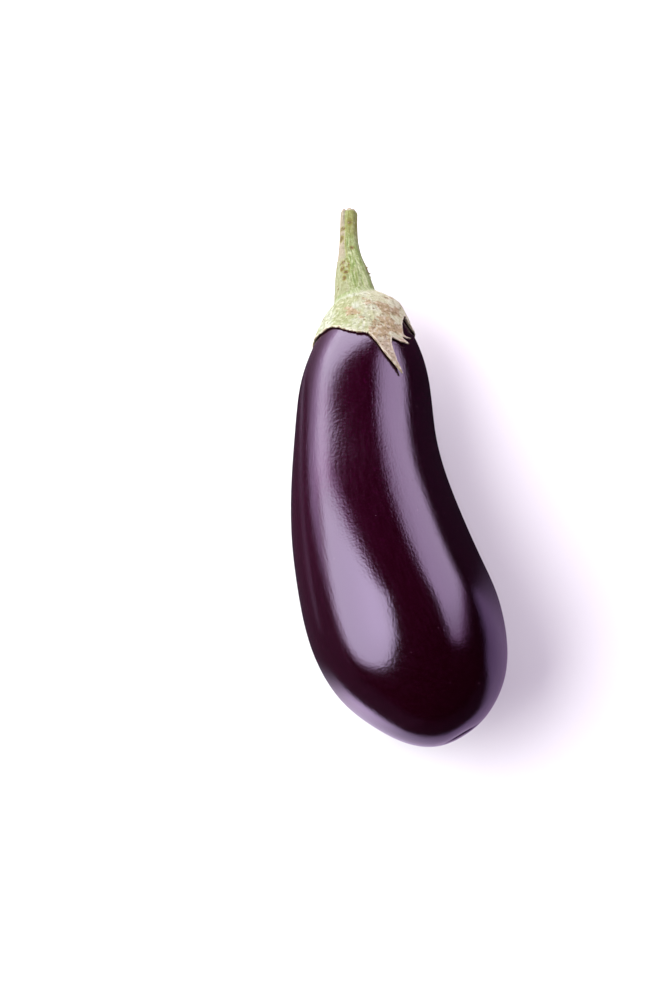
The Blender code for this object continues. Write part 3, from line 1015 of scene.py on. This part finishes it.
def stem_material(patches, specks, fibres):
    """Fibrous green stalk with a tan strip down one side, brown marks and a dry cut."""
    made, tree, shader = new_material("stem_green")
    grown = attribute(tree, "grown", vector=True)
    cut, side, left = attribute(tree, "cut"), attribute(tree, "side"), attribute(tree, "left")
    strand = use(tree, fibres, Vector=grown, Width=0.0008, Stretch=0.09)["Mask"]
    broad = use(tree, fibres, Vector=grown, Width=0.0024, Stretch=0.16)["Mask"]
    fine = use(tree, patches, Vector=grown, Size=0.0014, Threshold=0.5, Softness=0.1)["Noise"]
    # Dark green between pale fibres, olive near the cut, and painted shade dulling the -X side,
    # where the light is strongest.
    colour = blend(tree, band(tree, broad, 0.40, 0.60), STEM_DARK, STEM_PALE)
    colour = blend(tree, band(tree, strand, 0.50, 0.64, 0.0, 0.85), colour, STRAND_DARK)
    colour = blend(tree, band(tree, strand, 0.34, 0.46, 0.65, 0.0), colour, STRAND_PALE)
    olive = times(tree, band(tree, side, 0.60, 0.74), band(tree, left, 0.1, 0.45, 0.75, 0.0))
    colour = blend(tree, olive, colour, STEM_OLIVE)
    colour = blend(tree, band(tree, left, 0.05, 0.55, 0.0, 0.6), colour, STEM_PAINTED_SHADE)
    # The tan strip, with an olive seam beside it.
    facing = plus(tree, attribute(tree, "tan_face"), centred(tree, broad, 0.35))
    strip = band(tree, facing, 0.64, 0.74, 0.0, 0.9)
    strip = times(tree, strip, band(tree, side, 0.30, 0.52, 0.25, 1.0))
    colour = blend(tree, strip, colour, STEM_STRIP)
    seam = times(tree, band(tree, facing, 0.52, 0.60), band(tree, facing, 0.60, 0.68, 1.0, 0.0))
    seam = times(tree, seam, band(tree, side, 0.15, 0.25, 0.0, 0.7))
    colour = blend(tree, seam, colour, STEM_SEAM)
    # Brown marks with ragged outlines, ringed with olive.
    torn = plus(tree, attribute(tree, "mark"), centred(tree, fine, 1.1))
    colour = blend(tree, band(tree, torn, 0.22, 0.45, 0.0, 0.85), colour, MARK_RING)
    colour = blend(tree, band(tree, torn, 0.50, 0.72, 0.0, 0.90), colour, MARK_BROWN)
    dots = use(tree, specks, Vector=grown, Spacing=0.0026, Radius=0.30, Share=0.40)["Mask"]
    dots = times(tree, dots, band(tree, left, 0.0, 0.5, 0.25, 0.85))
    colour = blend(tree, dots, colour, STEM_DOT)
    colour = blend(tree, band(tree, fine, 0.36, 0.52, 0.45, 0.0), colour, STEM_FINE_DARK)
    colour = blend(tree, band(tree, fine, 0.54, 0.68, 0.0, 0.40), colour, STEM_FINE_PALE)
    # Dry and pale at the cut, brown at its lip and in its pith.
    near_cut = plus(tree, side, centred(tree, fine, 0.03))
    colour = blend(tree, band(tree, near_cut, 0.960, 0.975, 0.0, 0.75), colour, CUT_DRY)
    colour = blend(tree, band(tree, near_cut, 0.988, 0.998, 0.0, 0.8), colour, CUT_LIP)
    colour = blend(tree, band(tree, cut, 0.10, 0.22, 0.0, 0.9), colour, CUT_FACE)
    colour = blend(tree, band(tree, cut, 0.45, 0.75, 0.0, 0.6), colour, CUT_PITH)
    roughness = band(tree, broad, 0.3, 0.7, 0.55, 0.8)
    grit = cloud(tree, grown, 1200.0)
    bumps = ((broad, 0.0008, 0.5), (strand, 0.0006, 0.8), (fine, 0.0005, 0.6), (grit, 0.00012, 0.5))
    connect(tree, shader, colour, roughness, bumps)
    shader.inputs["Specular IOR Level"].default_value = 0.25
    return made


def table_material():
    """The pale table. To the fruit's gloss it shows a painted reflection that ends a little way
    off, and a painted glow.
    """
    made, tree, shader = new_material("pale_table")
    place = add(tree, "TexCoord").outputs["Object"]
    split = add(tree, "SeparateXYZ", {"Vector": place}).outputs
    x, y = split["X"], split["Y"]
    # Painted reflection, seen only in the gloss: bright in a disc round the blossom end and a wedge
    # that opens to +X, both cut off behind the fruit and to its left, and dark elsewhere.
    disc = band(tree, distance_from(tree, place, DISC_MIDDLE), 0.080, 0.104, 1.0, 0.0)
    wedge = times(tree, band(tree, x, 0.02, 0.07), band(tree, y, -0.15, -0.11))
    beyond = maths(tree, "SUBTRACT", y, times(tree, x, 0.6))
    lit = maths(tree, "MAXIMUM", disc, wedge)
    lit = times(tree, lit, band(tree, beyond, -0.120, -0.048, 1.0, 0.0))
    lit = times(tree, lit, band(tree, maths(tree, "SUBTRACT", y, x), -0.01, 0.03, 1.0, 0.0))
    glossy = add(tree, "LightPath").outputs["Is Glossy Ray"]
    pale = blend(tree, cloud(tree, place, 9.0), TABLE_PALE, TABLE_PALEST)
    bright = blend(tree, band(tree, x, -0.05, 0.06), GLOSS_LEFT, GLOSS_RIGHT)
    in_gloss = blend(tree, lit, GLOSS_DARK, bright)
    tree.links.new(blend(tree, glossy, pale, in_gloss), shader.inputs["Base Color"])
    # A painted glow, seen only in the gloss: the neck and the shoulder show the table brighter the
    # farther it is.
    behind = band(tree, plus(tree, y, times(tree, x, 0.1)), 0.048, 0.070)
    behind = times(tree, behind, band(tree, x, -0.05, -0.02, 1.0, 0.0))
    from_neck = distance_from(tree, place, NECK_SIDE)
    behind = times(tree, behind, band(tree, from_neck, 0.03, 0.30, 0.05, 0.55))
    # A painted glow, seen only in the gloss: the left flank shows the bright part glow, and a thin
    # line farther out.
    flank = band(tree, lit, 0.0, 1.0, 0.010, 0.48)
    flank = times(tree, band(tree, x, -0.06, -0.01, 1.0, 0.0), flank)
    bend = times(tree, maths(tree, "MAXIMUM", y, 0.0), -1.2)
    off_line = maths(tree, "ABSOLUTE", plus(tree, plus(tree, x, bend), LINE_OUT))
    line = band(tree, off_line, 0.003, 0.010, 0.15, 0.0)
    line = times(tree, line, band(tree, y, -0.09, -0.06))
    line = times(tree, line, band(tree, y, 0.04, 0.08, 1.0, 0.0))
    flank = maths(tree, "MAXIMUM", flank, line)
    glow = blend(tree, maths(tree, "MAXIMUM", behind, flank), BLACK, PAINTED_GLOSS_GLOW)
    glow = blend(tree, glossy, BLACK, glow)
    tree.links.new(glow, shader.inputs["Emission Color"])
    shader.inputs["Emission Strength"].default_value = 4.0
    shader.inputs["Roughness"].default_value = 0.9
    shader.inputs["Specular IOR Level"].default_value = 0.0
    return made


# ---------------------------------------------------------------------------- the stage


def make_table():
    mesh = bmesh.new()
    bmesh.ops.create_grid(mesh, x_segments=1, y_segments=1, size=TABLE_HALF_WIDTH)
    data = bpy.data.meshes.new("table")
    mesh.to_mesh(data)
    mesh.free()
    data.materials.append(table_material())
    table = bpy.data.objects.new("table", data)
    bpy.context.scene.collection.objects.link(table)


def face_ellipse(tree, u, v, soft):
    """Full inside an ellipse that fills the face, dimmer to one end, nothing outside it."""
    out = hypotenuse(tree, centred(tree, u, 2.0), centred(tree, v, 2.0))
    ellipse = band(tree, out, 1.0 - soft, 1.0, 1.0, 0.0)
    return times(tree, ellipse, band(tree, u, 0.66, 1.0, 1.0, 0.30))


def face_rounded_near(tree, u, v, soft):
    """A face that is square at its far end, round at its near end and dimmer outwards."""
    past_middle = maths(tree, "SUBTRACT", u, 0.47)
    near = times(tree, maths(tree, "MAXIMUM", past_middle, 0.0), 1.89)
    out = hypotenuse(tree, near, centred(tree, v, 2.0))
    round_end = band(tree, out, 1.0 - soft, 1.0, 1.0, 0.0)
    round_end = times(tree, round_end, band(tree, out, 0.0, 1.0, 1.06, 0.84))
    return times(tree, round_end, band(tree, u, 0.0, soft * 1.4))


def face_flagged(tree, u, v, soft):
    """A face with its lower near corner flagged off, dimmer towards its near end."""
    lit = band(tree, maths(tree, "PINGPONG", u, 0.5), 0.0, soft)
    lit = times(tree, lit, band(tree, maths(tree, "PINGPONG", v, 0.5), 0.0, soft))
    flag = plus(tree, times(tree, v, 0.56), times(tree, u, 0.63))
    lit = times(tree, lit, band(tree, flag, 0.30, 0.50))
    far_top = plus(tree, u, times(tree, v, 0.5))
    lit = times(tree, lit, band(tree, far_top, 1.0, 1.4, 1.0, 0.5))
    return times(tree, lit, band(tree, u, 0.0, 0.5, 0.45, 1.0))


# Panels: name, centre, the point that it faces, width and height, radiance, face, softness
# of the face's edges, roll in degrees, and colour.
PANELS = (
    (
        "left_panel", (-0.58, -0.16, 0.86), (0.42, -0.16, 0.86), (1.26, 1.60), 6.5,
        face_rounded_near, 0.13, 2.0, WHITE,
    ),
    (
        "far_panel", (-0.378, 0.724, 0.167), (-0.03, 0.05, 0.07), (1.64, 0.77), 5.4,
        face_ellipse, 0.32, -22.0, WHITE,
    ),
    (
        "right_panel", (0.452, 0.26, 0.364), (-0.028, 0.03, 0.044), (0.90, 0.56), 3.8,
        face_flagged, 0.12, 0.0, (1.0, 0.88, 1.0),
    ),
)


def panel_light(name, centre, towards, size, radiance, face, soft, roll, colour):
    """A flat light of this radiance, whose face is lit as the face function says."""
    light = bpy.data.lights.new(name, "AREA")
    light.shape = "RECTANGLE"
    light.size, light.size_y = size
    light.energy = radiance * math.pi * size[0] * size[1]
    light.color = colour
    light.use_nodes = True
    tree = light.node_tree
    split = add(tree, "SeparateXYZ", {"Vector": add(tree, "NewGeometry").outputs["Parametric"]})
    lit = face(tree, split.outputs["X"], split.outputs["Y"], soft)
    edge_warmth = blend(tree, band(tree, lit, 0.0, 0.75), PANEL_EDGE, WHITE)
    tree.links.new(edge_warmth, tree.nodes["Emission"].inputs["Color"])
    tree.links.new(lit, tree.nodes["Emission"].inputs["Strength"])
    made = bpy.data.objects.new(name, light)
    made.location = centre
    facing = Vector(towards) - Vector(centre)
    turn = facing.to_track_quat("-Z", "Y") @ Quaternion((0, 0, 1), math.radians(roll))
    made.rotation_euler = turn.to_euler()
    bpy.context.scene.collection.objects.link(made)


def make_sky():
    sky = bpy.data.worlds.new("sky")
    sky.use_nodes = True
    tree = sky.node_tree
    glossy = add(tree, "LightPath").outputs["Is Glossy Ray"]
    light = blend(tree, glossy, SKY_LIGHT, SKY_IN_GLOSS)
    tree.links.new(light, tree.nodes["Background"].inputs["Color"])
    bpy.context.scene.world = sky


def make_camera():
    data = bpy.data.cameras.new("camera")
    data.lens = CAMERA_LENS
    camera = bpy.data.objects.new("camera", data)
    back = Vector((0, -math.cos(CAMERA_ELEVATION), math.sin(CAMERA_ELEVATION)))
    camera.location = AIM + back * CAMERA_DISTANCE
    camera.rotation_euler = (math.pi / 2 - CAMERA_ELEVATION, 0, 0)
    bpy.context.scene.collection.objects.link(camera)
    bpy.context.scene.camera = camera


def main():
    effects = patches_group(), specks_group(), fibres_group()
    make_fruit(skin_material(*effects))
    make_calyx(calyx_material(*effects))
    make_stem(stem_material(*effects))
    make_table()
    for panel in PANELS:
        panel_light(*panel)
    make_sky()
    make_camera()
    bpy.context.scene.view_settings.view_transform = "Standard"


main()
